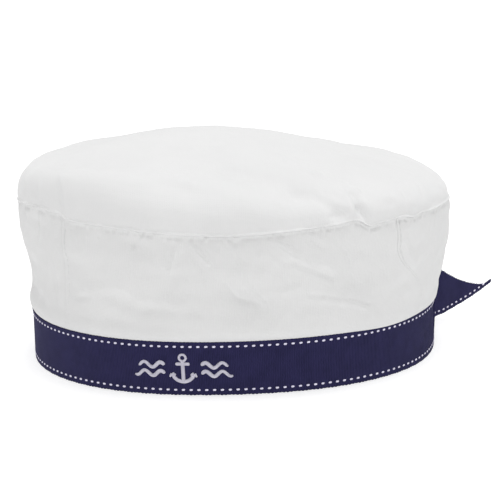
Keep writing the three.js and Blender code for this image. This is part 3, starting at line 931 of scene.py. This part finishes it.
def tail_stitches():
    """Saddle stitches on both faces of the loose end, evenly along it: the lower row nearly up to
    the tip, the upper row only where the ribbon has its full width."""
    at, points, tangent, outward = tail_line(tail_steps)
    centres, alongs, outs = [], [], []
    for height, bare in zip(tail_rows, (tail_bare_tip, tail_cut)):
        i = np.searchsorted(at, np.arange(tail_row_start, at[-1] - bare, stitch_pitch))
        for face_side in (1, -1):
            z = np.full(len(i), height)
            side = np.full(len(i), face_side * (ribbon_thickness / 2 + 0.04))
            centres.append(tail_face(at[i], points[i], outward[i], z, side))
            alongs.append(tangent[i])
            outs.append(outward[i] * face_side)
    along = np.concatenate(alongs)
    piece = stitch_row(
        "ribbon_end_stitches", np.concatenate(centres), along,
        squared_to(along, np.concatenate(outs)), stitch_length, stitch_width, stitch_height,
        white_thread,
    )
    return piece


def thread_tufts(name, roots, ways, lengths, radius, seed, material):
    """Short loose threads: each a four-sided tube along root + way times length times t, which
    curls by a random offset times t squared and thins to its end."""
    levels, sides = 5, 4
    rng = np.random.default_rng(seed)
    t = np.linspace(0, 1, levels)[None, :, None]
    curl = rng.normal(size=(len(roots), 1, 3)) * 0.35 * lengths[:, None, None]
    line = roots[:, None] + ways[:, None] * lengths[:, None, None] * t + curl * t**2
    around = np.arange(sides) * 2 * np.pi / sides
    side = unit(np.cross(ways, [0.3, 0.2, 1.0]))
    other = np.cross(ways, side)
    r = radius * (1 - 0.6 * t)
    across, out = np.cos(around)[None, None, :, None], np.sin(around)[None, None, :, None]
    ring = across * side[:, None, None] + out * other[:, None, None]
    points = line[:, :, None] + ring * r[..., None]
    shift = np.arange(len(roots))[:, None, None] * levels * sides
    rim = np.arange(sides)
    quads = [*grid_faces(levels, sides, True), rim[::-1], rim + (levels - 1) * sides]
    quads = (np.array(quads)[None] + shift).reshape(-1, 4)
    return put_in(name, points.reshape(-1, 3), quads, None, (), material)


def cut_fray():
    """Loose thread ends at random places along the slanting cut, each leaning on along the
    ribbon and up, by a random share."""
    rng = np.random.default_rng(21)
    at, points, tangent, outward = tail_line(tail_steps)
    first = np.searchsorted(at, at[-1] - tail_cut)
    i = np.sort(rng.integers(first, tail_steps - 4, fray_count))
    z = tail_width(at[-1] - at[i]) - 0.15
    roots = tail_face(at[i], points[i], outward[i], z, rng.uniform(-0.3, 0.3, len(i)))
    way = tangent[i] * rng.uniform(0.2, 1, (len(i), 1)) + [0, 0, 0.5]
    way = unit(way + rng.normal(size=way.shape) * 0.25)
    lengths = rng.uniform(0.35, 1.1, len(i))
    piece = thread_tufts("cut_fray", roots, way, lengths, 0.07, 22, navy_thread)
    return piece


def lap_tack():
    """A column of short slanting stitches, evenly up the lap, that holds the loose end to the
    ribbon."""
    at, points, tangent, outward = tail_line(tail_steps)
    z = np.linspace(3.6, 20.8, tack_count)
    i = np.full(tack_count, np.searchsorted(at, tack_place))
    side = np.full(tack_count, ribbon_thickness / 2 + 0.06)
    centres = tail_face(at[i], points[i], outward[i], z, side)
    along = unit(np.broadcast_to([0, 0, 1.0], centres.shape) + 0.5 * tangent[i])
    out = squared_to(along, outward[i])
    piece = stitch_row("lap_tack", centres, along, out, 1.7, 0.5, 0.4, navy_thread)
    return piece


def seam_stitches():
    """Topstitching beside the four panel seams: stitches at even heights, topstitch_inset along
    the wall from each seam, on the wall's own face."""
    centres, alongs, outs = [], [], []
    up = np.arange(4.0, side_height - 2.5, topstitch_pitch) / side_height
    for seam in range(4):
        span = panel_arc / (seam_turn(seam + 1, up) - seam_turn(seam, up))

        def at(shift, across=0.0):
            """The row's points moved up and across in mm."""
            level = up + shift / side_height
            turn = seam_turn(seam, level) + (topstitch_inset + across) / span
            outset, z = wall_point(turn, level)
            x, y = oval(turn, outset - 0.07)
            return np.stack([x, y, z], -1)

        along = unit(at(0.5) - at(-0.5))
        across = unit(at(0, 0.5) - at(0, -0.5))
        centres.append(at(0))
        alongs.append(along)
        outs.append(unit(np.cross(across, along)))
    piece = stitch_row(
        "seam_stitches", np.concatenate(centres), np.concatenate(alongs), np.concatenate(outs),
        topstitch_length, topstitch_width, topstitch_height, cotton_thread,
    )
    return piece


top_piece = crown_top_cloth()
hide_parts("crown_top")
panel_pieces = [
    side_panel(f"side_cloth_{place}", seam)
    for seam, place in enumerate(["left", "nape", "right", "brow"])
]
for piece in panel_pieces:
    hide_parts(piece.name.replace("side_cloth", "side_panel"))
band_piece = ring_piece("headband_cloth", headband_section(), 360, band_cotton)
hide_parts("headband")
ribbon_piece = ribbon_cloth()
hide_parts("ribbon_band")
tail_piece = tail_cloth()
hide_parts("ribbon_tail")

lower = ring_stitches(stitch_inset, 1.14)
upper = ring_stitches(band_height - upper_inset, 1.52)
ribbon_stitch_piece = stitch_row(
    "ribbon_stitches", *(np.concatenate(pair) for pair in zip(lower, upper)),
    stitch_length, stitch_width, stitch_height, white_thread, 4,
)
ornament_piece = ornament()
tail_stitch_piece = tail_stitches()
fray_piece = cut_fray()
tack_piece = lap_tack()
seam_stitch_piece = seam_stitches()

# Floor, camera and light: the camera's place is in metres, its angles in radians

picture_width = 500
focal_pixels = 1279.37
sensor_width = 36
camera_place = (7.893 + centre_x) / 1000, -0.6, 0.18423
camera_down = 0.2286
camera_roll = -0.0285
camera_shift = 0.0041
floor_reach = 30
floor_grey = 0.56
floor_glow = 0.58
sky_low, sky_high = 0.12, 0.5
sky_round, sky_overhead = 0.95, 0.5

floor_material = bpy.data.materials.new("pale_floor")
floor_material.use_nodes = True
floor_shader = floor_material.node_tree.nodes["Principled BSDF"]
for key, value in {
    "Base Color": (floor_grey, floor_grey, floor_grey, 1), "Emission Color": (1, 1, 1, 1),
    "Emission Strength": floor_glow, "Roughness": 0.9, "Specular IOR Level": 0.1,
}.items():
    floor_shader.inputs[key].default_value = value
floor_mesh = bpy.data.meshes.new("floor")
r = floor_reach
floor_mesh.from_pydata([(-r, -r, 0), (r, -r, 0), (r, r, 0), (-r, r, 0)], [], [(0, 1, 2, 3)])
floor_mesh.materials.append(floor_material)
floor = bpy.data.objects.new("floor", floor_mesh)
collection.objects.link(floor)

camera_data = bpy.data.cameras.new("camera")
camera_data.sensor_fit = "HORIZONTAL"
camera_data.sensor_width = sensor_width
camera_data.lens = focal_pixels / picture_width * sensor_width
camera_data.shift_y = camera_shift
camera_data.clip_start = 0.05
camera = bpy.data.objects.new("camera", camera_data)
camera.matrix_world = (
    Matrix.Translation(camera_place)
    @ Matrix.Rotation(math.pi / 2 - camera_down, 4, "X")
    @ Matrix.Rotation(camera_roll, 4, "Z")
)
collection.objects.link(camera)
bpy.context.scene.camera = camera


def soft_sun(name, way, power, spread):
    """A very soft sun that shines along way, its disc spread degrees wide."""
    data = bpy.data.lights.new(name, "SUN")
    data.energy = power
    data.angle = math.radians(spread)
    light = bpy.data.objects.new(name, data)
    light.rotation_mode = "QUATERNION"
    light.rotation_quaternion = Vector(way).to_track_quat("-Z", "Y")
    collection.objects.link(light)


soft_sun("overhead", (-0.06, -0.07, -1), 2.1, 40)
soft_sun("from_front", (-0.02, 0.9, -0.45), 0.3, 50)

# The sky is white round the horizon and dimmer overhead
world = bpy.data.worlds.new("studio")
world.use_nodes = True
sky = world.node_tree
sky.nodes.clear()
places = node(sky, "ShaderNodeTexCoord")
way = node(sky, "ShaderNodeSeparateXYZ", {0: places.outputs["Generated"]})
strength = node(
    sky, "ShaderNodeMapRange",
    {0: way.outputs[2], 1: sky_low, 2: sky_high, 3: sky_round, 4: sky_overhead},
)
backdrop = node(
    sky, "ShaderNodeBackground", {"Color": (1, 1, 1, 1), "Strength": strength.outputs[0]}
)
sky_out = node(sky, "ShaderNodeOutputWorld")
sky.links.new(backdrop.outputs[0], sky_out.inputs[0])
bpy.context.scene.world = world
view = bpy.context.scene.view_settings
view.view_transform = "Standard"
view.look = "None"
